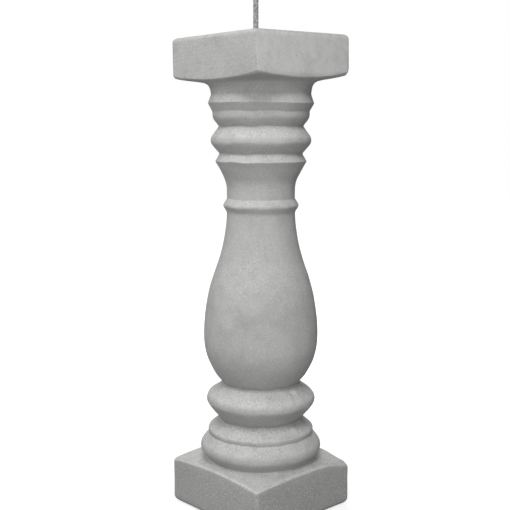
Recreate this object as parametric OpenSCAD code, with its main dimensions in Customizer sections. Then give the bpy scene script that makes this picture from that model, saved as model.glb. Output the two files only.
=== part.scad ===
// Turned cast-stone baluster: a square plinth, a turned shaft with a pear-shaped
// body and a square cap, all one casting, with a reinforcing bar standing out of
// the cap to be cast into the handrail. Millimetres, +Z up. The origin is at the
// middle of the underside, and the square faces are parallel to X and Y.

/* [Overall] */
// Height of the casting, underside of the plinth to the top of the cap
total_h = 705; // [560:5:860]
// Width of the plinth across its flat faces
plinth_w = 193; // [186:1:240]
// Width of the cap across its flat faces
cap_w = 182; // [176:1:230]
// Rounding of the upright corners of plinth and cap
corner_r = 6; // [3:0.5:10]

/* [Plinth] */
// Height of the plinth block at its corners
plinth_h = 69; // [50:1:95]
// Slope of the turned shoulder on top of the plinth, degrees
shoulder_deg = 8; // [5:0.5:14]
// Softening of the plinth's bottom edges
plinth_soft = 4; // [2:0.5:8]

/* [Foot mouldings] */
// Radius at which the lower roll sits on the shoulder
roll_seat_r = 80; // [70:1:86]
// Height from its seat to the middle of the lower roll
roll_h = 18.5; // [14:0.5:22]
// Radius of the lower roll, taken at the point its flanks aim at
roll_r = 96.5; // [90:0.5:102]
// Rounding of the lower roll
roll_soft = 16; // [8:0.5:18]
// Height from the middle of the lower roll to the quirk above it
roll_top_h = 20; // [16:0.5:23]
// Radius of the quirk between the lower roll and the bead
quirk_r = 79; // [74:0.5:81]
// Height of the bead above the quirk
bead_h = 7; // [5:0.5:10]
// Radius of the bead above the lower roll
bead_r = 81; // [79:0.5:86]
// Height from the bead to the hollow
bead_top_h = 16; // [13:0.5:20]
// Radius of the hollow under the middle roll
hollow_r = 61.5; // [56:0.5:66]
// Height from the hollow to the middle of the middle roll
mid_roll_h = 32.5; // [28:0.5:36]
// Radius of the middle roll, taken at the point its flanks aim at
mid_roll_r = 88.5; // [82:0.5:93]
// Rounding of the middle roll
mid_roll_soft = 13; // [8:0.5:16]
// Height from the middle of the middle roll to the groove above it
mid_roll_top_h = 23; // [20:0.5:27]
// Radius of the groove between the middle roll and the body
foot_groove_r = 57; // [52:0.5:62]

/* [Body] */
// Height from the groove to the widest point of the body
belly_h = 70.5; // [60:0.5:80]
// Largest radius of the pear-shaped body
belly_r = 86.3; // [80:0.1:92]
// Radius of the waist at the top of the body
waist_r = 50.5; // [46:0.1:56]
// Share of the rise from belly to waist that bulges outwards
bulge_share = 0.52; // [0.4:0.01:0.65]

/* [Necking ring] */
// Height of the necking ring
ring_h = 21; // [16:0.5:26]
// Radius of the necking ring, taken at the point its flanks aim at
ring_r = 57; // [55:0.5:60]
// Rounding of the necking ring
ring_soft = 4.5; // [2:0.5:6]

/* [Head mouldings] */
// Height of the upright throat above the necking ring
throat_h = 22; // [18:0.5:26]
// Sweep of the throat where it turns outwards
throat_sweep = 60; // [30:1:70]
// Height of the flare at the top of the throat
flare_h = 25; // [20:0.5:30]
// Radius at the top of the throat, under its fillet
throat_top_r = 63; // [61:0.5:65]
// Height of the fillet over the throat
fillet_h = 7.4; // [5:0.1:10]
// Radius of the sharp fillet over the throat
fillet_r = 67.6; // [66:0.1:70]
// Height from the fillet to the groove over it
fillet_top_h = 10.9; // [8:0.1:14]
// Radius of the groove over the fillet
head_groove_r = 61; // [58:0.1:64]
// Height from that groove to the middle of the upper roll
head_roll_h = 19.3; // [16:0.1:23]
// Radius of the upper roll, taken at the point its flanks aim at
head_roll_r = 77.7; // [75:0.1:83]
// Rounding of the upper roll
head_roll_soft = 11.5; // [8:0.5:14]
// Height from the middle of the upper roll to the groove over it
head_roll_top_h = 20.3; // [16:0.1:23]
// Radius of the groove over the upper roll
neck_groove_r = 62; // [59:0.1:66]
// Height from that groove to the band
band_foot_h = 12.2; // [10:0.1:15]
// Radius of the flat band under the collar
band_r = 71.5; // [70:0.1:75]
// Height of the flat band
band_h = 9.7; // [7:0.1:12]
// Height of the cove between the band and the collar
cove_h = 11.9; // [9:0.1:15]
// Radius of the sharp collar
collar_r = 78; // [76:0.1:81]
// Height from the collar up to the neck
collar_top_h = 12.7; // [9:0.1:16]
// Radius of the neck under the cap
neck_r = 73.2; // [71:0.1:75]
// How much wider the neck is at its top
neck_flare = 3; // [1:0.5:5]
// Height of the neck
neck_h = 15.8; // [12:0.1:20]

/* [Cap] */
// Height of the square edge of the cap at its corners
cap_edge_h = 54; // [44:1:62]
// Slope of the turned underside of the cap, degrees
under_deg = 13; // [8:0.5:18]
// Softening of the cap's top edge
cap_soft = 6; // [3:0.5:12]

/* [Reinforcing bar] */
// Diameter of the bar
bar_d = 8; // [6:0.5:12]
// Length of bar standing out of the cap
bar_out = 80; // [40:5:200]
// Length of bar held in the casting
bar_in = 120; // [60:5:200]
// Distance of the bar from the axis of the casting
bar_off = 7.5; // [0:0.5:12]

/* [Hidden] */
$fn = 96;
AXIS_STEPS = 6;                         // straight steps in each small rounding
BODY_STEPS = 16;                        // and in each long curve of the body
bar_root = bar_d / 2 - 0.3;             // core radius, gripped by the casting
bar_taper = 1.5;                        // where the bar thickens to its outside size
bar_gap = 0.05;                         // hairline round the bar at the casting's face

// how far the corners of the two blocks stand from the axis
plinth_corner = (plinth_w / 2 - corner_r) * sqrt(2) + corner_r;
cap_corner = (cap_w / 2 - corner_r) * sqrt(2) + corner_r;

// heights of the foot mouldings, from the plinth up
z_seat = plinth_h + (plinth_corner - roll_seat_r) * tan(shoulder_deg);
z_roll = z_seat + roll_h;
z_quirk = z_roll + roll_top_h;
z_bead = z_quirk + bead_h;
z_hollow = z_bead + bead_top_h;
z_mid = z_hollow + mid_roll_h;
z_groove = z_mid + mid_roll_top_h;
z_belly = z_groove + belly_h;

// heights of the head mouldings, from the cap down
z_cap = total_h - cap_edge_h;
z_under = z_cap - (cap_corner - neck_r - neck_flare) * tan(under_deg);
z_neck = z_under - neck_h;
z_collar = z_neck - collar_top_h;
z_cove = z_collar - cove_h;
z_band = z_cove - band_h;
z_neck_groove = z_band - band_foot_h;
z_head_roll = z_neck_groove - head_roll_top_h;
z_head_groove = z_head_roll - head_roll_h;
z_fillet = z_head_groove - fillet_top_h;
z_throat_top = z_fillet - fillet_h;
z_throat = z_throat_top - flare_h;
z_ring1 = z_throat - throat_h;
z_ring = z_ring1 - ring_h / 2;
z_ring0 = z_ring1 - ring_h;

// the radius that the turned faces run out to, past the corners of the blocks
run_out = max(plinth_w, cap_w) * 0.8;

function unit(v) = v / norm(v);
function angle_at(a, p, b) = acos(max(-1, min(1, unit(a - p) * unit(b - p))));

// Points of an outline whose corners are rounded. Each corner is [r, z, rounding].
function rounded(c) = [for (i = [0:len(c) - 1]) each
    (i == 0 || i == len(c) - 1 || c[i][2] <= 0 ? [[c[i][0], c[i][1]]] : corner(
        [c[i - 1][0], c[i - 1][1]], [c[i][0], c[i][1]], [c[i + 1][0], c[i + 1][1]], c[i][2]))];
function corner(a, p, b, want) =
    let (u = unit(a - p), v = unit(b - p), h = angle_at(a, p, b) / 2,
         reach = min(want / tan(h), 0.49 * norm(a - p), 0.49 * norm(b - p)),
         r = reach * tan(h), m = p + unit(u + v) * r / sin(h),
         s = p + u * reach - m, e = p + v * reach - m,
         a0 = atan2(s[1], s[0]), turn = atan2(s[0] * e[1] - s[1] * e[0], s * e))
    [for (k = [0:AXIS_STEPS]) m + r * [cos(a0 + turn * k / AXIS_STEPS), sin(a0 + turn * k / AXIS_STEPS)]];

// the lower curve of the body: one arc that stands upright at the belly
drop_r = ((belly_r - foot_groove_r) ^ 2 + belly_h ^ 2) / (2 * (belly_r - foot_groove_r));
function body_low() = [for (k = [0:BODY_STEPS - 1])
    let (t = asin(min(1, belly_h / drop_r)) * (1 - k / BODY_STEPS))
    [belly_r - drop_r * (1 - cos(t)), z_belly - drop_r * sin(t)]];

// the upper curve: an outward arc that runs into an inward arc and ends at the waist
rise = z_ring - z_belly;
sum_r = ((belly_r - waist_r) ^ 2 + rise ^ 2) / (2 * (belly_r - waist_r));
out_r = bulge_share * sum_r;
in_r = sum_r - out_r;
z_turn = z_belly + rise * bulge_share;
function body_r(z) = z < z_turn
    ? belly_r - out_r + sqrt(out_r ^ 2 - (z - z_belly) ^ 2)
    : waist_r + in_r - sqrt(in_r ^ 2 - (z_ring - z) ^ 2);
function body_high() = [for (k = [0:2 * BODY_STEPS])
    let (z = z_belly + (z_ring0 - z_belly) * k / (2 * BODY_STEPS)) [body_r(z), z]];

foot_corners = [
    [plinth_corner + 12, plinth_h - 12 * tan(shoulder_deg), 0],
    [roll_seat_r, z_seat, 1],
    [roll_r, z_roll, roll_soft],
    [quirk_r, z_quirk, 1],
    [bead_r, z_bead, 9],
    [hollow_r, z_hollow, 2],
    [mid_roll_r, z_mid, mid_roll_soft],
    [foot_groove_r, z_groove, 0]];
head_corners = [
    [body_r(z_ring0), z_ring0, 0],
    [ring_r, z_ring, ring_soft],
    [waist_r, z_ring1, 3],
    [waist_r, z_throat, throat_sweep],
    [throat_top_r, z_throat_top, 2],
    [fillet_r, z_fillet, 1],
    [head_groove_r, z_head_groove, 2.5],
    [head_roll_r, z_head_roll, head_roll_soft],
    [neck_groove_r, z_neck_groove, 2],
    [band_r, z_band, 14],
    [band_r, z_cove, 4],
    [collar_r, z_collar, 1],
    [neck_r, z_neck, 7],
    [neck_r + neck_flare, z_under, 14],
    [cap_corner + 12, z_cap + 12 * tan(under_deg), 0]];

// The turned outline, closed along the axis
module turned() {
    foot = rounded(foot_corners);
    head = rounded(head_corners);
    rotate_extrude(angle = 360)
        polygon(concat(
            [[0, 0], [run_out, 0]], [[run_out, 20]],
            foot, [for (i = [1:len(body_low()) - 1]) body_low()[i]], body_high(),
            [for (i = [1:len(head) - 1]) head[i]],
            [[run_out, total_h - 20], [run_out, total_h], [0, total_h]]));
}

// Square block with rounded upright corners
module block(w, z0, z1) {
    translate([0, 0, z0])
        linear_extrude(height = z1 - z0)
            union() {
                square([w - 2 * corner_r, w], center = true);
                square([w, w - 2 * corner_r], center = true);
                for (x = [-1, 1], y = [-1, 1])
                    translate([x, y] * (w / 2 - corner_r)) circle(r = corner_r);
            }
}

// Bar of square stock along Y, its two edges at the height z1 rounded
module soft_bar(w, z0, z1, soft) {
    dir = sign(z1 - z0);
    rotate([90, 0, 0])
        linear_extrude(height = 4 * w, center = true)
            union() {
                translate([-w / 2, min(z0, z1 - dir * soft)]) square([w, abs(z1 - z0) - soft]);
                translate([-w / 2 + soft, min(z0, z1)]) square([w - 2 * soft, abs(z1 - z0)]);
                for (x = [-1, 1])
                    translate([x * (w / 2 - soft), z1 - dir * soft]) circle(r = soft);
            }
}

// Square block whose upright corners and whose edges at the height z1 are rounded
module soft_block(w, z0, z1, soft) {
    intersection() {
        block(w, min(z0, z1), max(z0, z1));
        soft_bar(w, z0, z1, soft);
        rotate([0, 0, 90]) soft_bar(w, z0, z1, soft);
    }
}

module baluster() {
    color("#b9b9b7")
        difference() {
            intersection() {
                turned();
                union() {
                    soft_block(plinth_w, z_quirk, 0, plinth_soft);
                    translate([0, 0, z_quirk - 1])
                        cylinder(r = run_out, h = z_neck - z_quirk + 2);
                    soft_block(cap_w, z_neck, total_h, cap_soft);
                }
            }
            bar(1, bar_gap);
        }
}

// The bar, with a slightly thinner root where the casting grips it. The casting is
// cut by the same shape, eased by the gap at its face.
module bar(out, gap = 0) {
    rotate([0, 0, -135])
        translate([bar_off, 0, total_h])
            rotate_extrude(angle = 360)
                polygon([[0, -bar_in], [bar_root, -bar_in], [bar_root, -bar_taper], [bar_d / 2 + gap, 0],
                         [bar_d / 2 + gap, out], [0, out]]);
}

module reinforcing_bar() {
    color("#77756f") bar(bar_out);
}

baluster();
reinforcing_bar();
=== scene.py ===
import math

import bmesh
import bpy
from bpy.props import FloatProperty, FloatVectorProperty, IntProperty, PointerProperty
from bpy.types import Operator, Panel, PropertyGroup
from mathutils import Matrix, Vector, noise


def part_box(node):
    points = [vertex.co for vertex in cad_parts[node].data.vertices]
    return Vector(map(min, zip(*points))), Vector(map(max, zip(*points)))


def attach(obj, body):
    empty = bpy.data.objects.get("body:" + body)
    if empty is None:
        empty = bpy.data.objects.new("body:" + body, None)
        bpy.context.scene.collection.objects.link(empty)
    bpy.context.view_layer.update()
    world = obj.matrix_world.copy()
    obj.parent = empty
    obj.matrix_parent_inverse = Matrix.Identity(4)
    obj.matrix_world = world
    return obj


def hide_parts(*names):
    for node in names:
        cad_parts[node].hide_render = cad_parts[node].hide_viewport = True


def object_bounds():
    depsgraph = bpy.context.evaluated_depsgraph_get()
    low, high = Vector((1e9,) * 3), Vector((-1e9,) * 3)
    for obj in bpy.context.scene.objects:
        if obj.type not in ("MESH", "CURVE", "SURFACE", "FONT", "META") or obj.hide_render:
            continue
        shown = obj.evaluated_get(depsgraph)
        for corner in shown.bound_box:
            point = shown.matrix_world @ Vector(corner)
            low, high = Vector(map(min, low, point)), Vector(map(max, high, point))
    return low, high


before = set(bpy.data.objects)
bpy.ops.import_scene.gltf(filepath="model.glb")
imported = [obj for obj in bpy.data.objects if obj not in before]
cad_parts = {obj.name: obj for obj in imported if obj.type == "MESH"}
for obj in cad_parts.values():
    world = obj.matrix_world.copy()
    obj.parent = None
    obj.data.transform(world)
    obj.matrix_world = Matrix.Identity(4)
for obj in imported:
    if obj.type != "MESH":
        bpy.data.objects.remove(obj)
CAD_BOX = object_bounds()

bl_info = {
    "name": "Cast Stone Baluster",
    "version": (1, 0, 0),
    "blender": (4, 5, 0),
    "location": "View3D > Sidebar > Baluster",
    "description": "Casting, starter bar and studio for a turned cast-stone baluster",
    "category": "Add Mesh",
}

MM = 0.001


def linear(hex_colour):
    """An sRGB hex colour as the linear RGBA that shaders take."""
    parts = [int(hex_colour[i:i + 2], 16) / 255 for i in (0, 2, 4)]
    return [c / 12.92 if c <= 0.04045 else ((c + 0.055) / 1.055) ** 2.4 for c in parts] + [1.0]


# ---------------------------------------------------------------- sizes and colours

class CastingSizes(PropertyGroup):
    segments: IntProperty(
        name="Segments", description="Steps round the turned shaft",
        default=192, min=48, max=256, subtype="UNSIGNED")
    arris: FloatProperty(
        name="Arris wear", description="How far the turned faces blend into the flat ones",
        default=4 * MM, min=1 * MM, max=20 * MM, unit="LENGTH")
    foot_corner: FloatProperty(
        name="Foot corner", description="Rounding of the plinth's upright corners",
        default=5 * MM, min=2 * MM, max=12 * MM, unit="LENGTH")
    cap_corner: FloatProperty(
        name="Cap corner", description="Rounding of the cap's upright corners",
        default=1.5 * MM, min=1 * MM, max=12 * MM, unit="LENGTH")
    cushion: FloatProperty(
        name="Cushion", description="How much lower the cap's underside is at its corners",
        default=2.5 * MM, min=0, max=5 * MM, unit="LENGTH")
    cap_edge: FloatProperty(
        name="Cap edge", description="Rounding of the cap's top edge",
        default=7 * MM, min=2 * MM, max=15 * MM, unit="LENGTH")
    foot_edge: FloatProperty(
        name="Foot edge", description="Rounding of the plinth's bottom edge",
        default=9 * MM, min=2 * MM, max=15 * MM, unit="LENGTH")
    cap_tilt: FloatProperty(
        name="Cap tilt", description="How far out of level the cap was cast",
        default=math.radians(1.1), min=0, max=math.radians(3), unit="ROTATION")
    cap_rise: FloatProperty(
        name="Cap rise", description="How proud the trowelled top was left",
        default=1.5 * MM, min=0, max=4 * MM, unit="LENGTH")
    corner_drop: FloatProperty(
        name="Corner drop", description="How much lower the plinth's knocked corners were cast",
        default=1.5 * MM, min=0, max=5 * MM, unit="LENGTH")
    corner_wear: FloatProperty(
        name="Corner wear", description="How much more the arrises are worn at the corners",
        default=2.0, min=0, max=4, subtype="FACTOR")
    unevenness: FloatProperty(
        name="Unevenness", description="Long slow waviness of the cast faces",
        default=0.5 * MM, min=0, max=2 * MM, unit="LENGTH")
    wobble: FloatProperty(
        name="Wobble", description="How far the turned edges stray up and down",
        default=1.4 * MM, min=0, max=3 * MM, unit="LENGTH")


class BarSizes(PropertyGroup):
    core: FloatProperty(
        name="Core radius", description="Radius of the bar between its ribs",
        default=3.75 * MM, min=2 * MM, max=6 * MM, unit="LENGTH")
    rib_pitch: FloatProperty(
        name="Rib spacing", description="Distance from one cross rib to the next",
        default=7.5 * MM, min=3 * MM, max=10 * MM, unit="LENGTH")
    rib_slant: FloatProperty(
        name="Rib slant", description="Angle of the cross ribs to the level",
        default=math.radians(32), min=0, max=math.radians(60), unit="ROTATION")


class Finish(PropertyGroup):
    cement: FloatVectorProperty(
        name="Cement", description="Colour of the dry cement face",
        default=linear("b2b2b1"), size=4, min=0, max=1, subtype="COLOR")
    # also the painted shade on the plinth's low faces and on the undersides, besides the darker
    # clouds, blotches and rings
    cement_dark_and_shade: FloatVectorProperty(
        name="Cement, damp", description="Colour of its darker clouds",
        default=linear("a0a09f"), size=4, min=0, max=1, subtype="COLOR")
    # paints light: paler up-facing ledges, the cap's right face, and arrises and proud rolls as
    # wear and painted highlight
    laitance_and_painted_light: FloatVectorProperty(
        name="Laitance", description="Colour of the pale skin on ledges and arrises",
        default=linear("c6c6c5"), size=4, min=0, max=1, subtype="COLOR")
    sand: FloatVectorProperty(
        name="Sand", description="Colour of the sand grains",
        default=linear("dededc"), size=4, min=0, max=1, subtype="COLOR")
    # also the painted shade in the hollows, grooves and the cap's upright corners
    pit_and_hollow_shade: FloatVectorProperty(
        name="Pits", description="Colour between the grains and in the pinholes",
        default=linear("80807f"), size=4, min=0, max=1, subtype="COLOR")
    steel: FloatVectorProperty(
        name="Steel", description="Colour of the bar's mill scale",
        default=linear("8a8a89"), size=4, min=0, max=1, subtype="COLOR")
    rust: FloatVectorProperty(
        name="Rust", description="Colour of the rust film on the bar",
        default=linear("757372"), size=4, min=0, max=1, subtype="COLOR")
    splash: FloatVectorProperty(
        name="Splash", description="Colour of the cement splashed on the bar",
        default=linear("b2b2b0"), size=4, min=0, max=1, subtype="COLOR")
    backdrop: FloatVectorProperty(
        name="Backdrop", description="Colour that the surround is seen in",
        default=linear("ffffff"), size=4, min=0, max=1, subtype="COLOR")
    floor: FloatVectorProperty(
        name="Floor", description="Colour of the paper under the baluster",
        default=linear("a0a0a0"), size=4, min=0, max=1, subtype="COLOR")


class Studio(PropertyGroup):
    lens: FloatProperty(
        name="Lens", description="Focal length on a 36 mm frame",
        default=65.93, min=20, max=200, unit="CAMERA")
    camera_azimuth: FloatProperty(
        name="Azimuth", description="Where the camera stands round the baluster",
        default=math.radians(47.15), unit="ROTATION")
    camera_distance: FloatProperty(
        name="Distance", description="Camera's distance from the turned axis",
        default=1.384, min=0.5, unit="LENGTH")
    camera_height: FloatProperty(
        name="Height", description="Camera's height over the floor",
        default=0.582, min=0, unit="LENGTH")
    camera_pitch: FloatProperty(
        name="Pitch", description="How far the camera looks down",
        default=math.radians(8.04), unit="ROTATION")
    camera_yaw: FloatProperty(
        name="Yaw", description="How far the camera looks past the axis",
        default=math.radians(0.36), unit="ROTATION")


# ---------------------------------------------------------------- small helpers

def smooth(a, b, x):
    """A soft step from 0 where x is a to 1 where it is b."""
    t = min(1.0, max(0.0, (x - a) / (b - a)))
    return t * t * (3 - 2 * t)


def off_face(angle):
    """The angle from a direction to the middle of a square's nearest side, at most 45 degrees."""
    return abs((angle + math.pi / 4) % (math.pi / 2) - math.pi / 4)


def square_radius(half, corner, angle):
    """Distance from the axis to a square of rounded corners, in one direction."""
    a = off_face(angle)
    flat = half / math.cos(a)
    side = half - corner
    if half * math.tan(a) <= side:
        return flat
    centre = side * math.sqrt(2)
    off = a - math.pi / 4
    return centre * math.cos(off) + math.sqrt(max(corner ** 2 - (centre * math.sin(off)) ** 2, 0))


def spun(path, columns):
    """A bmesh of an outline of (radius, height) turned once round the axis."""
    bm = bmesh.new()
    line = [bm.verts.new((r, 0, z)) for r, z in path]
    edges = [bm.edges.new(pair) for pair in zip(line, line[1:])]
    bmesh.ops.spin(
        bm, geom=line + edges, cent=(0, 0, 0), axis=(0, 0, 1), dvec=(0, 0, 0),
        angle=math.tau, steps=columns, use_merge=True, use_duplicate=False)
    bmesh.ops.remove_doubles(bm, verts=bm.verts, dist=0.01 * MM)
    return bm


def new_piece(name, bm, cad_node, material):
    """Turns a finished bmesh into a piece on the root body."""
    bmesh.ops.recalc_face_normals(bm, faces=bm.faces)
    mesh = bpy.data.meshes.new(name)
    bm.to_mesh(mesh)
    bm.free()
    piece = bpy.data.objects.new(name, mesh)
    bpy.context.scene.collection.objects.link(piece)
    for face in mesh.polygons:
        face.use_smooth = True
    mesh.materials.append(material)
    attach(piece, "root")
    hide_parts(cad_node)
    return piece


def add_node(tree, kind, inputs=None, **settings):
    """Adds a node with its settings by name and its inputs by name or number. An input that is
    given a socket is joined to it, and any other value becomes the input's constant."""
    node = tree.nodes.new(kind)
    for name, value in settings.items():
        setattr(node, name, value)
    for key, value in (inputs or {}).items():
        if isinstance(value, bpy.types.NodeSocket):
            tree.links.new(value, node.inputs[key])
        else:
            node.inputs[key].default_value = value
    return node


# ---------------------------------------------------------------- the casting

# how hard each upright corner has been knocked, by quarter: +X+Y, -X+Y, -X-Y, +X-Y
KNOCKS = (1.0, 0.5, 0.1, 0.0)

# lumps where the mould leaked: angle round the axis, height, width, height of the lump
MOULD_LUMPS = (
    (math.radians(7), 187 * MM, 4 * MM, 2.4 * MM),
    (math.radians(-6), 182 * MM, 5 * MM, 1.2 * MM),
    (math.radians(3), 131 * MM, 4.5 * MM, 1.6 * MM),
    (math.radians(-27), 79 * MM, 4.5 * MM, 1.8 * MM),
    (math.radians(-49), 117 * MM, 4 * MM, 1.4 * MM),
)

# the mesh
ROW = 2.3 * MM                      # longest step along the outline on the mouldings,
BODY_ROW = 6 * MM                   # on the long body, where the outline bends slowly,
FLAT_ROW = 3.5 * MM                 # and on the blocks' upright faces
ONE_CORNER = 0.1 * MM               # corners of the outline this close are one
BODY = (0.29, 0.63)                 # the long body's ends, as shares of the casting's height
EDGE_ROWS = 6                       # rows round a level edge
END_RINGS = 12                      # rings across the top and the underside
GATHER = 0.17                       # how far the columns draw together at the blocks' corners
SOFTENED = 3                        # rounds of taking the sharp turns off the outline

# the mouldings, as shares of half a block's width: what is narrower belongs to the shaft, and
# what is wider counts as no wider where the hollows and the edges are told apart
SHAFT_SHARE = 0.85
WIDEST_SHARE = 0.83
NEARBY = 34 * MM                    # how far along the outline a place is compared
FULL_STAND = 0.22                   # off the mean by this share of that, it is all hollow or edge

# wear, and what the mould and the trowel left
CHAMFER = 0.3                       # share of the arris wear that is cut away
CAP_WEAR = 0.35                     # how much of the plinth's corner wear the cap has
LUMP_END = 1.6                      # a lump is gone this many widths from its middle
WAVE = 70 * MM                      # length of the slow waves in the faces,
RIPPLE = 24 * MM                    # of the smaller ones on them,
BITE = 11 * MM                      # of the bites out of the blocks' arrises,
STRAY = 21 * MM                     # and of the turned edges' ups and downs
BITE_DEPTH = 1.6 * MM
STRAY_FADE = 12 * MM                # the edges run true again this close to a block
TROWELLED = 35 * MM                 # depth of the cap that its trowelled top pulled up
LEAN_FROM = 45 * MM                 # how far below the cap's lower edge its lean begins


def turned_outline(node):
    """The casting's turned outline between its two blocks, as (radius, height), foot first.

    Every corner of the CAD solid between the blocks' outer edges lies on it; those near
    the axis belong to the bar's socket."""
    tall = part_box(node)[1].z
    corners = {}
    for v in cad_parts[node].data.vertices:
        r = math.hypot(v.co.x, v.co.y)
        if 0.03 * tall < v.co.z < 0.97 * tall and r > 0.04 * tall:
            corners[round(v.co.z, 5)] = r
    return [(corners[z], z) for z in sorted(corners)]


def corner_share(angle):
    """0 square to a face of the plinth and the cap, 1 at their upright corners."""
    return off_face(angle) / (math.pi / 4)


def corner_wear(angle):
    """How hard the arris is knocked in a direction."""
    quarter = int(angle % math.tau // (math.pi / 2)) % 4
    return KNOCKS[quarter] * smooth(0.55, 1.0, corner_share(angle))


def block_half(node, over):
    """Half the width of the casting, over the heights that are asked for."""
    return max(abs(v.co.x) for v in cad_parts[node].data.vertices if over(v.co.z))


def stepped(points, step):
    """An outline with no step longer than step(height)."""
    out = [points[0]]
    for (r0, z0), (r1, z1) in zip(points, points[1:]):
        length = math.hypot(r1 - r0, z1 - z0)
        if length < ONE_CORNER:
            continue
        n = max(1, math.ceil(length / step((z0 + z1) / 2)))
        out += [(r0 + (r1 - r0) * k / n, z0 + (z1 - z0) * k / n) for k in range(1, n + 1)]
    return out


def worn(points, turns):
    """An outline with its sharp turns taken off, ends kept."""
    for _ in range(turns):
        points = [points[0]] + [
            (0.25 * a[0] + 0.5 * b[0] + 0.25 * c[0], 0.25 * a[1] + 0.5 * b[1] + 0.25 * c[1])
            for a, b, c in zip(points, points[1:], points[2:])] + [points[-1]]
    return points


def standing(points, reach, widest):
    """How each height of an outline stands to its neighbourhood, from -1 sunk to 1 proud. What
    lies further out than widest, on the two blocks, counts as no further out than that."""
    points = [(min(r, widest), z) for r, z in points]
    along = [0.0]
    for a, b in zip(points, points[1:]):
        along.append(along[-1] + math.hypot(b[0] - a[0], b[1] - a[1]))
    out = {}
    for (r, z), s in zip(points, along):
        near = [(p[0], 1 - abs(t - s) / reach) for p, t in zip(points, along) if abs(t - s) < reach]
        mean = sum(q * w for q, w in near) / sum(w for q, w in near)
        out[round(z, 6)] = (r - mean) / (FULL_STAND * reach)
    return out


def lump_height(lump, angle, z, r):
    """How high a lump stands at one place on the casting."""
    way, height, width, rise = lump
    off = math.hypot((angle - way) * r, z - height) / width
    return rise * (1 - smooth(0, LUMP_END, off))


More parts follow.
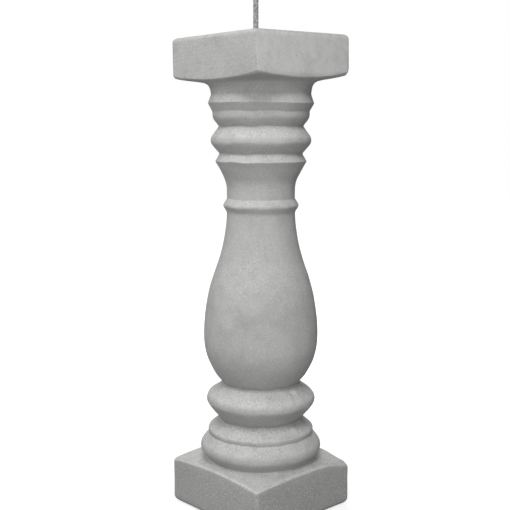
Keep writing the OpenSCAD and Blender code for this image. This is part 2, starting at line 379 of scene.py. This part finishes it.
class Blank:
    """The casting before it is roughened, from the CAD solid: its plinth and its cap, and the
    turned outline that cuts them, drawn on past their corners to one reach."""

    def __init__(self, node, size):
        self.size = size
        self.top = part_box(node)[1].z
        outline = turned_outline(node)
        self.foot_half = block_half(node, lambda z: z < self.top / 2)
        self.cap_half = block_half(node, lambda z: z > self.top / 2)
        self.seat = next(z for r, z in outline if r < SHAFT_SHARE * self.foot_half)
        self.under = next(z for r, z in reversed(outline) if r < SHAFT_SHARE * self.cap_half)
        self.reach = square_radius(self.foot_half, size.foot_corner, math.pi / 4) + 2 * size.arris
        # the slopes on top of the plinth and under the cap, over their outermost corners
        foot, inner_foot, inner_cap, cap = (outline[k] for k in (0, 4, -5, -1))
        self.shoulder = (inner_foot[1] - foot[1]) / (inner_foot[0] - foot[0])
        self.slope = (cap[1] - inner_cap[1]) / (cap[0] - inner_cap[0])
        self.foot_z = foot[1] + (self.reach - foot[0]) * self.shoulder
        self.cap_z = cap[1] + (self.reach - cap[0]) * self.slope
        self.cap_edge_z = cap[1]
        low, high = (share * self.top for share in BODY)
        self.shaft = worn(stepped(
            [(self.reach, self.foot_z)] + outline + [(self.reach, self.cap_z)],
            lambda z: BODY_ROW if low < z < high else ROW), SOFTENED)

    def path(self):
        """The outline that is spun: across the underside, up the whole casting, across the top."""
        reach, size = self.reach, self.size
        bend = [math.pi / 2 * k / EDGE_ROWS for k in range(1, EDGE_ROWS + 1)]
        side = [(reach, size.foot_edge * (1 - math.cos(a))) for a in bend]
        side += stepped([(reach, size.foot_edge), (reach, self.foot_z)], lambda z: FLAT_ROW)[1:-1]
        rim = stepped(
            [(reach, self.cap_z), (reach, self.top - size.cap_edge)], lambda z: FLAT_ROW)[1:]
        rim += [(reach, self.top - size.cap_edge * (1 - math.sin(a))) for a in bend]
        rings = [reach * k / END_RINGS for k in range(1, END_RINGS)]
        underside = [(0, 0)] + [(r, 0) for r in rings] + [(reach, 0)]
        top_face = [(r, self.top) for r in reversed(rings)] + [(0, self.top)]
        return underside + side + self.shaft + rim + top_face

    def block(self, angle, z):
        """How far the plinth or the cap reaches in a direction, with its level edges rounded."""
        size = self.size
        if z < self.top / 2:
            half, corner = self.foot_half, size.foot_corner
            edge, depth = size.foot_edge, size.foot_edge - z
        else:
            half, corner = self.cap_half, size.cap_corner
            edge, depth = size.cap_edge, z - (self.top - size.cap_edge)
        if depth > 0:
            half -= edge - math.sqrt(max(edge ** 2 - depth ** 2, 0))
        return square_radius(half, corner, angle)

    def squared(self, angle, r, z):
        """Cuts a place on the plinth or the cap back to its block, with the arris worn. Gives
        its new radius and height, how proud it is, which paints the arris pale as wear and painted
        highlight, and how sunk it is, which paints shade on the cap's upright corners."""
        size, foot = self.size, z < self.seat
        limit = self.block(angle, z)
        knock = corner_wear(angle)
        crease = (self.foot_z + self.shoulder * (limit - self.reach) if foot else
                  self.cap_z + self.slope * (limit - self.reach))
        flat = r > limit
        off = abs(z - crease) if flat else limit - r
        wear = size.arris * (1 + size.corner_wear * knock * (1 if foot else CAP_WEAR))
        cut = CHAMFER * wear * max(0.0, 1 - off / wear) ** 2
        r = min(r, limit) - cut
        z += -cut if foot else cut
        if foot:
            z -= size.corner_drop * knock * smooth(crease - 2 * wear, crease, z)
        # painted highlight on the plinth's upright corners, and painted shade on the cap's upright
        # corners that dims their highlight
        upright = smooth(0.97, 1.0, corner_share(angle))
        # proud paints the arrises pale, partly wear and partly painted highlight; the last value is
        # the painted shade share
        proud = max(0.0, 1 - off / size.arris, 0.3 * upright if foot else 0.0)
        return r, z, proud, 0.6 * upright if flat and not foot else 0.0

    def roughened(self, angle, r, z, proud):
        """Where a place on the casting ends up, with its waves, bites, lumps and lean. What is
        added to a place keeps one noise from following another."""
        size, on_shaft = self.size, self.seat < z < self.under
        out = Vector((math.cos(angle), math.sin(angle), 0))
        at = out * r + Vector((0, 0, z))
        wave = noise.noise(at / WAVE) + 0.5 * noise.noise(at / RIPPLE + Vector((5, 1, 3)))
        r -= size.unevenness * max(0.0, 0.5 + 0.5 * wave)
        if not on_shaft:
            r -= BITE_DEPTH * proud * max(0.0, noise.noise(at / BITE + Vector((2, 7, 4))))
        lumps = sum(lump_height(lump, angle, z, r) for lump in MOULD_LUMPS)
        co = out * (r + lumps) + Vector((0, 0, z + lumps))
        if on_shaft:
            inside = (smooth(self.seat, self.seat + STRAY_FADE, z)
                      * smooth(self.under, self.under - STRAY_FADE, z))
            co.z += size.wobble * inside * noise.noise(at / STRAY + Vector((9, 3, 1)))
        co.z += size.cap_rise * smooth(self.top - TROWELLED, self.top, z)
        if self.under < z < self.cap_z:                     # the cap's underside, at its corners
            co.z -= size.cushion * smooth(0.95 * self.cap_half, 1.35 * self.cap_half, r)
        # the cap leans towards the -X-Y corner, and the neck bends to meet it
        lift = size.cap_tilt * smooth(self.cap_edge_z - LEAN_FROM, self.cap_edge_z, z)
        uphill = Vector((1, 1, 0)).normalized()
        return co + Vector((0, 0, lift * co.dot(uphill))) - uphill * lift * (z - self.under)


class BALUSTER_OT_casting(Operator):
    """Makes the cast baluster with its worn arrises, out-of-true cap and mould marks"""
    bl_idname = "baluster.casting"
    bl_label = "Make Casting"

    def execute(self, context):
        size = context.scene.baluster_casting
        blank = Blank("baluster", size)
        bm = spun(blank.path(), size.segments)
        stands = standing(blank.shaft, NEARBY, WIDEST_SHARE * blank.foot_half)
        # proud carries paleness, partly wear and partly painted highlight, and sunk carries painted
        # shade
        proud = bm.verts.layers.float.new("proud")
        sunk = bm.verts.layers.float.new("sunk")
        for v in bm.verts:
            r, z = math.hypot(v.co.x, v.co.y), v.co.z
            if r < 1e-6:
                continue
            angle = math.atan2(v.co.y, v.co.x)
            angle -= GATHER * math.sin(4 * (angle - math.pi / 4))
            if z < 1e-6 or z > blank.top - 1e-6:
                r *= blank.block(angle, z) / blank.reach
            elif z < blank.seat or z > blank.under:
                r, z, v[proud], v[sunk] = blank.squared(angle, r, z)
            else:
                # proud rolls are painted pale, partly wear and partly painted highlight, and sunk
                # grooves take painted shade
                stand = stands.get(round(z, 6), 0.0)
                v[proud], v[sunk] = smooth(0, 1, stand), smooth(0, 1, -stand)
            v.co = blank.roughened(angle, r, z, v[proud])
        new_piece("casting", bm, "baluster", cast_cement(context.scene.baluster_finish))
        return {"FINISHED"}


# ---------------------------------------------------------------- the starter bar

BAR_COLUMNS = 40
BAR_ROWS = 230
BURR = 0.8 * MM                     # taken off the sheared end
SCALE_BUMP = 1.7 * MM               # size of the mill scale's bumps
SCALE_DEPTH = 0.12 * MM


class BALUSTER_OT_bar(Operator):
    """Makes the ribbed reinforcing bar that stands out of the cap"""
    bl_idname = "baluster.bar"
    bl_label = "Make Starter Bar"

    def execute(self, context):
        size = context.scene.baluster_bar
        low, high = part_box("reinforcing_bar")
        centre = (low + high) / 2
        outer = (high.x - low.x) / 2
        rows = [low.z + (high.z - BURR - low.z) * k / BAR_ROWS for k in range(BAR_ROWS + 1)]
        bm = spun([(0, low.z)] + [(size.core, z) for z in rows]
                  + [(size.core - BURR, high.z), (0, high.z)], BAR_COLUMNS)
        for v in bm.verts:
            r = math.hypot(v.co.x, v.co.y)
            if r < size.core - 1e-6:
                continue
            angle = math.atan2(v.co.y, v.co.x)
            across = math.sin(abs(angle))           # nothing at the two long ribs
            rib = v.co.z + math.tan(size.rib_slant) * size.core * abs(angle)
            rib += size.rib_pitch / 2 if angle < 0 else 0
            near = abs((rib / size.rib_pitch) % 1 - 0.5) * 2
            crescent = smooth(0.45, 0.9, near) * smooth(0.1, 0.6, across)
            long_rib = 0.8 * smooth(0.93, 1.0, abs(math.cos(angle)))
            r += (outer - size.core) * max(crescent, long_rib)
            r += SCALE_DEPTH * noise.noise(v.co / SCALE_BUMP)
            r = min(r, outer)
            v.co.x, v.co.y = r * math.cos(angle), r * math.sin(angle)
        bmesh.ops.translate(bm, verts=bm.verts, vec=(centre.x, centre.y, 0))
        new_piece("starter_bar", bm, "reinforcing_bar",
                  hot_rolled_steel(context.scene.baluster_finish))
        return {"FINISHED"}


# ---------------------------------------------------------------- finishes

def new_material(name):
    """An empty node material and the place on the piece that its patterns are drawn by."""
    material = bpy.data.materials.new(name)
    material.use_nodes = True
    tree = material.node_tree
    tree.nodes.clear()
    return material, tree, add_node(tree, "ShaderNodeTexCoord").outputs["Object"]


def cells(millimetres):
    """A texture scale that gives one cell of this many millimetres in object space."""
    return 1 / (millimetres * MM)


def cast_cement(finish):
    """Cast cement, struck from a mould: a chalky dry face with soft clouds where it dried
    unevenly, sand grains that catch the light and a scatter of pinholes. Light and shade are
    also painted into its colour: paler ledges, arrises, rolls and one cap face, and darker plinth
    faces, undersides, hollows and cap corners."""
    material, tree, place = new_material("cast_cement")
    clouds = add_node(tree, "ShaderNodeTexNoise", {
        "Vector": place, "Scale": cells(55), "Detail": 4.0, "Roughness": 0.6})
    blotches = add_node(tree, "ShaderNodeTexNoise", {
        "Vector": place, "Scale": cells(14), "Detail": 3.0, "Roughness": 0.55})
    # sand is 0.3 to 1 mm; drawn at 2 mm so that it shows
    sand = add_node(tree, "ShaderNodeTexNoise", {
        "Vector": place, "Scale": cells(2.0), "Detail": 2.0, "Roughness": 0.7})
    # pinholes about 1 mm wide, one in some of the 9 mm cells
    holes = add_node(tree, "ShaderNodeTexVoronoi", {"Vector": place, "Scale": cells(9)})
    lot = add_node(tree, "ShaderNodeSeparateColor", {"Color": holes.outputs["Color"]})
    chosen = add_node(tree, "ShaderNodeMapRange", {
        "Value": lot.outputs["Red"], "From Min": 0.62, "From Max": 0.64})
    mouth = add_node(tree, "ShaderNodeMapRange", {
        "Value": holes.outputs["Distance"], "From Min": 0.05, "From Max": 0.11,
        "To Min": 1.0, "To Max": 0.0}, interpolation_type="SMOOTHSTEP")
    pinhole = add_node(tree, "ShaderNodeMath", {
        0: chosen.outputs["Result"], 1: mouth.outputs["Result"]}, operation="MULTIPLY")

    # which way a face looks, how high it lies and how far it stands out of the outline
    normal = add_node(tree, "ShaderNodeNewGeometry").outputs["Normal"]
    looks = add_node(tree, "ShaderNodeSeparateXYZ", {"Vector": normal}).outputs
    facing = looks["Z"]
    height = add_node(tree, "ShaderNodeSeparateXYZ", {"Vector": place}).outputs["Z"]
    proud = add_node(tree, "ShaderNodeAttribute", attribute_name="proud").outputs["Fac"]
    ledge = add_node(tree, "ShaderNodeMapRange", {
        "Value": facing, "From Min": 0.05, "From Max": 0.75}, interpolation_type="SMOOTHSTEP")
    # painted shade on faces that look down
    painted_underside_shade = add_node(tree, "ShaderNodeMapRange", {
        "Value": facing, "From Min": -0.05, "From Max": -0.5, "To Max": 0.72},
        interpolation_type="SMOOTHSTEP")
    # the plinth's low band, which takes painted shade on its upright faces and shows more sand
    low = add_node(tree, "ShaderNodeMapRange", {
        "Value": height, "From Min": 80 * MM, "From Max": 55 * MM},
        interpolation_type="SMOOTHSTEP")

    # it dried in soft clouds, with smaller blotches over them
    cloudy = add_node(tree, "ShaderNodeMapRange", {
        "Value": clouds.outputs["Fac"], "From Min": 0.4, "From Max": 0.8},
        interpolation_type="SMOOTHSTEP")
    colour = add_node(tree, "ShaderNodeMix", {
        "Factor": cloudy.outputs["Result"], 6: finish.cement, 7: finish.cement_dark_and_shade},
        data_type="RGBA")
    blotchy = add_node(tree, "ShaderNodeMapRange", {
        "Value": blotches.outputs["Fac"], "From Min": 0.5, "From Max": 0.75, "To Max": 0.35},
        interpolation_type="SMOOTHSTEP")
    colour = add_node(tree, "ShaderNodeMix", {
        "Factor": blotchy.outputs["Result"], 6: colour.outputs[2], 7: finish.cement_dark_and_shade},
        data_type="RGBA")

    # the turned pattern left faint rings in the mould, 4 mm apart, that show most at the head
    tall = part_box("baluster")[1].z
    head = add_node(tree, "ShaderNodeMapRange", {
        "Value": height, "From Min": tall - 130 * MM, "From Max": tall - 95 * MM,
        "To Min": 0.12, "To Max": 0.28}, interpolation_type="SMOOTHSTEP")
    level = add_node(tree, "ShaderNodeMapping", {"Vector": place, "Scale": (0.12, 0.12, 1.0)})
    rings = add_node(tree, "ShaderNodeTexNoise", {
        "Vector": level.outputs["Vector"], "Scale": cells(4), "Detail": 2.0})
    ringed = add_node(tree, "ShaderNodeMapRange", {
        "Value": rings.outputs["Fac"], "From Min": 0.48, "From Max": 0.68,
        "To Max": head.outputs["Result"]}, interpolation_type="SMOOTHSTEP")
    colour = add_node(tree, "ShaderNodeMix", {
        "Factor": ringed.outputs["Result"], 6: colour.outputs[2], 7: finish.cement_dark_and_shade},
        data_type="RGBA")

    # painted light: faces that look up are made paler as if lit from above, and arrises and proud
    # rolls paler, partly wear and partly painted highlight
    painted_top_light = add_node(tree, "ShaderNodeMath", {
        0: ledge.outputs["Result"], 1: 0.75}, operation="MULTIPLY")
    arris_wear_and_painted_light = add_node(tree, "ShaderNodeMath", {
        0: proud, 1: 0.4, 2: painted_top_light.outputs[0]}, operation="MULTIPLY_ADD")
    rubbed = add_node(tree, "ShaderNodeMapRange", {
        "Value": blotches.outputs["Fac"], "From Min": 0.38, "From Max": 0.66,
        "To Min": 1.15, "To Max": 0.7}, interpolation_type="SMOOTHSTEP")
    pale = add_node(tree, "ShaderNodeMath", {
        0: arris_wear_and_painted_light.outputs[0], 1: rubbed.outputs["Result"]}, operation="MULTIPLY",
        use_clamp=True)

    # painted light: the cap's face that looks towards +X, on the camera's right, is made paler in
    # patches, as if more light fell on it
    patchy = add_node(tree, "ShaderNodeMapRange", {
        "Value": blotches.outputs["Fac"], "From Min": 0.35, "From Max": 0.65,
        "To Min": 1.0, "To Max": 0.65}, interpolation_type="SMOOTHSTEP")
    painted_right_face_light = add_node(tree, "ShaderNodeMapRange", {
        "Value": looks["X"], "From Min": 0.5, "From Max": 0.9,
        "To Max": patchy.outputs["Result"]}, interpolation_type="SMOOTHSTEP")
    high = add_node(tree, "ShaderNodeMapRange", {
        "Value": height, "From Min": tall - 62 * MM, "From Max": tall - 50 * MM},
        interpolation_type="SMOOTHSTEP")
    painted_cap_face_light = add_node(tree, "ShaderNodeMath", {
        0: painted_right_face_light.outputs["Result"], 1: high.outputs["Result"]}, operation="MULTIPLY")
    pale = add_node(tree, "ShaderNodeMath", {
        0: pale.outputs[0], 1: painted_cap_face_light.outputs[0]}, operation="MAXIMUM")
    # mixes in the painted light and the arris wear
    colour = add_node(tree, "ShaderNodeMix", {
        "Factor": pale.outputs[0], 6: colour.outputs[2], 7: finish.laitance_and_painted_light}, data_type="RGBA")

    # painted shade: the plinth's low upright faces and the faces that look down are darkened as if
    # less light reaches them
    upright = add_node(tree, "ShaderNodeMath", {
        0: 0.8, 1: ledge.outputs["Result"]}, operation="SUBTRACT", use_clamp=True)
    splash_and_low_shade = add_node(tree, "ShaderNodeMath", {
        0: low.outputs["Result"], 1: upright.outputs[0]}, operation="MULTIPLY")
    painted_low_and_under_shade = add_node(tree, "ShaderNodeMath", {
        0: splash_and_low_shade.outputs[0], 1: painted_underside_shade.outputs["Result"]}, operation="MAXIMUM")
    colour = add_node(tree, "ShaderNodeMix", {
        "Factor": painted_low_and_under_shade.outputs[0], 6: colour.outputs[2], 7: finish.cement_dark_and_shade},
        data_type="RGBA")

    # painted shade in the hollows and grooves of the turned outline and on the cap's upright
    # corners
    hollow = add_node(tree, "ShaderNodeAttribute", attribute_name="sunk").outputs["Fac"]
    painted_hollow_shade = add_node(tree, "ShaderNodeMath", {0: hollow, 1: 0.45}, operation="MULTIPLY")
    colour = add_node(tree, "ShaderNodeMix", {
        "Factor": painted_hollow_shade.outputs[0], 6: colour.outputs[2], 7: finish.pit_and_hollow_shade}, data_type="RGBA")

    # the sand shows more where the skin has worn: on the ledges and the plinth
    worn_skin = add_node(tree, "ShaderNodeMath", {
        0: low.outputs["Result"], 1: ledge.outputs["Result"]}, operation="MAXIMUM")
    bare = add_node(tree, "ShaderNodeMapRange", {
        "Value": worn_skin.outputs[0], "To Min": 0.36, "To Max": 0.76})
    lit = add_node(tree, "ShaderNodeMapRange", {
        "Value": sand.outputs["Fac"], "From Min": 0.56, "From Max": 0.7},
        interpolation_type="SMOOTHSTEP")
    lit = add_node(tree, "ShaderNodeMath", {
        0: lit.outputs["Result"], 1: bare.outputs["Result"]}, operation="MULTIPLY")
    colour = add_node(tree, "ShaderNodeMix", {
        "Factor": lit.outputs[0], 6: colour.outputs[2], 7: finish.sand}, data_type="RGBA")
    between = add_node(tree, "ShaderNodeMapRange", {
        "Value": sand.outputs["Fac"], "From Min": 0.44, "From Max": 0.3},
        interpolation_type="SMOOTHSTEP")
    between = add_node(tree, "ShaderNodeMath", {
        0: between.outputs["Result"], 1: bare.outputs["Result"]}, operation="MULTIPLY")
    colour = add_node(tree, "ShaderNodeMix", {
        "Factor": between.outputs[0], 6: colour.outputs[2], 7: finish.pit_and_hollow_shade}, data_type="RGBA")
    shade = add_node(tree, "ShaderNodeMath", {
        0: pinhole.outputs[0], 1: 0.7}, operation="MULTIPLY")
    colour = add_node(tree, "ShaderNodeMix", {
        "Factor": shade.outputs[0], 6: colour.outputs[2], 7: finish.pit_and_hollow_shade}, data_type="RGBA")

    grain = add_node(tree, "ShaderNodeBump", {
        "Height": sand.outputs["Fac"], "Strength": bare.outputs["Result"],
        "Distance": 0.3 * MM})
    turning = add_node(tree, "ShaderNodeBump", {
        "Height": rings.outputs["Fac"], "Normal": grain.outputs["Normal"],
        "Strength": head.outputs["Result"], "Distance": 0.8 * MM})
    rolls = add_node(tree, "ShaderNodeBump", {
        "Height": blotches.outputs["Fac"], "Normal": turning.outputs["Normal"],
        "Strength": 0.4, "Distance": 1.2 * MM})
    pits = add_node(tree, "ShaderNodeBump", {
        "Height": pinhole.outputs[0], "Normal": rolls.outputs["Normal"],
        "Strength": 0.8, "Distance": 0.6 * MM}, invert=True)
    shader = add_node(tree, "ShaderNodeBsdfPrincipled", {
        "Base Color": colour.outputs[2], "Roughness": 1.0, "Specular IOR Level": 0.15,
        "Normal": pits.outputs["Normal"]})
    add_node(tree, "ShaderNodeOutputMaterial", {"Surface": shader.outputs["BSDF"]})
    return material


def hot_rolled_steel(finish):
    """Hot-rolled reinforcing bar: grey mill scale under a film of rust, with splashes of the
    cement that it was cast into."""
    material, tree, place = new_material("hot_rolled_steel")
    film = add_node(tree, "ShaderNodeTexNoise", {
        "Vector": place, "Scale": cells(5), "Detail": 4.0, "Roughness": 0.65})
    drops = add_node(tree, "ShaderNodeTexNoise", {
        "Vector": place, "Scale": cells(2.4), "Detail": 3.0, "Roughness": 0.6})
    rusty = add_node(tree, "ShaderNodeMapRange", {
        "Value": film.outputs["Fac"], "From Min": 0.42, "From Max": 0.6},
        interpolation_type="SMOOTHSTEP")
    splash_and_low_shade = add_node(tree, "ShaderNodeMapRange", {
        "Value": drops.outputs["Fac"], "From Min": 0.55, "From Max": 0.62},
        interpolation_type="SMOOTHSTEP")
    colour = add_node(tree, "ShaderNodeMix", {
        "Factor": rusty.outputs["Result"], 6: finish.steel, 7: finish.rust}, data_type="RGBA")
    colour = add_node(tree, "ShaderNodeMix", {
        "Factor": splash_and_low_shade.outputs["Result"], 6: colour.outputs[2], 7: finish.splash},
        data_type="RGBA")
    # only the bare scale is metal
    covered = add_node(tree, "ShaderNodeMath", {
        0: rusty.outputs["Result"], 1: splash_and_low_shade.outputs["Result"]}, operation="MAXIMUM")
    metal = add_node(tree, "ShaderNodeMapRange", {
        "Value": covered.outputs[0], "To Min": 0.7, "To Max": 0.0})
    bump = add_node(tree, "ShaderNodeBump", {
        "Height": drops.outputs["Fac"], "Strength": 0.4, "Distance": 0.3 * MM})
    shader = add_node(tree, "ShaderNodeBsdfPrincipled", {
        "Base Color": colour.outputs[2], "Metallic": metal.outputs["Result"],
        "Roughness": 0.62, "Normal": bump.outputs["Normal"]})
    add_node(tree, "ShaderNodeOutputMaterial", {"Surface": shader.outputs["BSDF"]})
    return material


def backdrop_rays(tree):
    """1 for the rays that see the backdrop: the camera's, and those mirrored or let through."""
    rays = add_node(tree, "ShaderNodeLightPath").outputs
    mirrored = add_node(tree, "ShaderNodeMath", {
        0: rays["Is Glossy Ray"], 1: rays["Is Transmission Ray"]}, operation="MAXIMUM")
    seen = add_node(tree, "ShaderNodeMath", {
        0: rays["Is Camera Ray"], 1: mirrored.outputs[0]}, operation="MAXIMUM")
    return seen.outputs[0]


def pale_paper(finish):
    """Matt paper sweep: it takes the baluster's shadow and reads as white everywhere else."""
    material, tree, place = new_material("pale_paper")
    shader = add_node(tree, "ShaderNodeBsdfPrincipled", {
        "Base Color": finish.floor, "Roughness": 1.0})
    # near the foot the paper shows the shadow, further off it burns out to white
    away = add_node(tree, "ShaderNodeVectorMath", {0: place}, operation="LENGTH")
    level = add_node(tree, "ShaderNodeMapRange", {
        "Value": away.outputs["Value"], "From Min": 0.15, "From Max": 0.7,
        "To Min": 0.72, "To Max": 1.0})
    strength = add_node(tree, "ShaderNodeMath", {
        0: backdrop_rays(tree), 1: level.outputs["Result"]}, operation="MULTIPLY")
    glow = add_node(tree, "ShaderNodeEmission", {
        "Color": finish.backdrop, "Strength": strength.outputs[0]})
    both = add_node(tree, "ShaderNodeAddShader", {
        0: shader.outputs["BSDF"], 1: glow.outputs["Emission"]})
    add_node(tree, "ShaderNodeOutputMaterial", {"Surface": both.outputs[0]})
    return material


# ---------------------------------------------------------------- the studio

# name, degrees round from the camera, metres from the axis, metres up, metres wide, watts
LAMPS = (
    ("key", -2, 1.05, 1.60, 0.6, 11.2),
    ("front", -5, 1.50, 0.60, 0.6, 9.3),
    ("side", -100, 1.20, 1.05, 0.5, 5.3),
    ("back", 180, 1.60, 0.90, 0.8, 14.0),
)
AMBIENT = 0.225                     # how bright the surround lights the baluster
FLOOR_RADIUS = 6.0                  # reaches past all that the camera sees of the floor


class BALUSTER_OT_stage(Operator):
    """Makes the pale floor, the soft lamps, the white surround and the camera"""
    bl_idname = "baluster.stage"
    bl_label = "Make Stage"

    def execute(self, context):
        scene = context.scene
        studio = scene.baluster_studio
        low, high = CAD_BOX
        middle = Vector((0, 0, (low.z + high.z) / 2))

        bm = bmesh.new()
        bmesh.ops.create_circle(bm, cap_ends=True, segments=96, radius=FLOOR_RADIUS)
        bmesh.ops.translate(bm, verts=bm.verts, vec=(0, 0, low.z))
        mesh = bpy.data.meshes.new("floor")
        bm.to_mesh(mesh)
        bm.free()
        floor = bpy.data.objects.new("floor", mesh)
        mesh.materials.append(pale_paper(scene.baluster_finish))
        scene.collection.objects.link(floor)

        azimuth = studio.camera_azimuth
        for name, round_from, away, up, width, power in LAMPS:
            lamp = bpy.data.lights.new(name, "AREA")
            lamp.shape, lamp.size, lamp.energy = "DISK", width, power
            obj = bpy.data.objects.new(name, lamp)
            a = azimuth + math.radians(round_from)
            obj.location = (away * math.sin(a), -away * math.cos(a), up)
            obj.rotation_euler = (middle - obj.location).to_track_quat("-Z", "Y").to_euler()
            scene.collection.objects.link(obj)

        world = bpy.data.worlds.new("surround")
        scene.world = world
        world.use_nodes = True
        tree = world.node_tree
        tree.nodes.clear()
        strength = add_node(tree, "ShaderNodeMapRange", {
            "Value": backdrop_rays(tree), "To Min": AMBIENT, "To Max": 1.0})
        sky = add_node(tree, "ShaderNodeBackground", {
            "Color": scene.baluster_finish.backdrop, "Strength": strength.outputs["Result"]})
        add_node(tree, "ShaderNodeOutputWorld", {"Surface": sky.outputs["Background"]})

        camera = bpy.data.cameras.new("camera")
        camera.sensor_width = 36
        camera.lens = studio.lens
        camera.clip_start, camera.clip_end = 0.05, 50
        obj = bpy.data.objects.new("camera", camera)
        obj.location = (studio.camera_distance * math.sin(azimuth),
                        -studio.camera_distance * math.cos(azimuth), studio.camera_height)
        obj.rotation_euler = (math.pi / 2 - studio.camera_pitch, 0, azimuth + studio.camera_yaw)
        scene.collection.objects.link(obj)
        scene.camera = obj
        scene.view_settings.view_transform = "Standard"
        return {"FINISHED"}


# ---------------------------------------------------------------- sidebar and run

class BALUSTER_PT_panel(Panel):
    """Lists the steps that build the baluster"""
    bl_idname = "BALUSTER_PT_panel"
    bl_label = "Cast Stone Baluster"
    bl_space_type = "VIEW_3D"
    bl_region_type = "UI"
    bl_category = "Baluster"

    def draw(self, context):
        layout = self.layout
        for step in STEPS:
            layout.operator(step.bl_idname)
        for group in GROUPS:
            settings = getattr(context.scene, group)
            for name in settings.__annotations__:
                layout.prop(settings, name)


STEPS = (BALUSTER_OT_casting, BALUSTER_OT_bar, BALUSTER_OT_stage)
GROUPS = {
    "baluster_casting": CastingSizes,
    "baluster_bar": BarSizes,
    "baluster_finish": Finish,
    "baluster_studio": Studio,
}
CLASSES = (*GROUPS.values(), *STEPS, BALUSTER_PT_panel)


def register():
    for cls in CLASSES:
        bpy.utils.register_class(cls)
    for name, group in GROUPS.items():
        setattr(bpy.types.Scene, name, PointerProperty(type=group))


def unregister():
    for name in GROUPS:
        delattr(bpy.types.Scene, name)
    for cls in reversed(CLASSES):
        bpy.utils.unregister_class(cls)


def main():
    register()
    for run in (bpy.ops.baluster.stage, bpy.ops.baluster.casting, bpy.ops.baluster.bar):
        run()
    bpy.context.view_layer.update()


if __name__ == "__main__":
    main()
